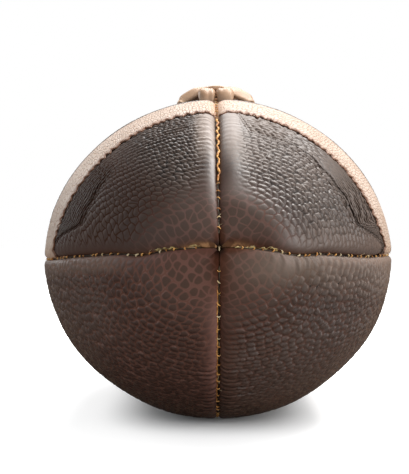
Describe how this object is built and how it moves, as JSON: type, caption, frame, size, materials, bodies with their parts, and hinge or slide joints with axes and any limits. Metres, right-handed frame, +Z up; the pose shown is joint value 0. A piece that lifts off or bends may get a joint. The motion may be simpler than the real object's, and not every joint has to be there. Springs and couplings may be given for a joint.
{
  "type": "deflated football",
  "caption": "Slack, deflated leather football of the pointed kind, laced, with worn pebbled panels and cream stripes, resting on its belly.",
  "frame": {"origin": "middle of the bounding box's bottom, on the floor under the ball", "axes": "+Y along the ball from the front tip to the rear tip, +Z up through the lace, +X to the right seen from the front tip"},
  "size_m": [0.1757, 0.2636, 0.1659],
  "materials": {
    "leather_brown": "pebbled, worn and waxy",
    "leather_cream": "painted, fine grain",
    "lace_cream": "smooth, worn",
    "lining_cloth": "matt cloth",
    "bladder_rubber": "dull",
    "valve_black": "dull",
    "thread_orange": "waxed, frayed"
  },
  "bodies": {
    "root": {"panel_upper_left": "leather_brown", "panel_upper_right": "leather_brown", "panel_lower_left": "leather_brown", "panel_lower_right": "leather_brown", "stripe_front_left": "leather_cream", "stripe_front_right": "leather_cream", "stripe_rear_left": "leather_cream", "stripe_rear_right": "leather_cream", "lace": "lace_cream", "lace_tongue": "leather_brown", "lining_upper_left": "lining_cloth", "lining_upper_right": "lining_cloth", "lining_lower_left": "lining_cloth", "lining_lower_right": "lining_cloth", "lace_facing_left": "lining_cloth", "lace_facing_right": "lining_cloth", "bladder": "bladder_rubber", "valve": "valve_black", "seam_thread_left": "thread_orange", "seam_thread_right": "thread_orange", "seam_thread_bottom": "thread_orange", "seam_thread_top_front": "thread_orange", "seam_thread_top_rear": "thread_orange"}
  },
  "joints": []
}
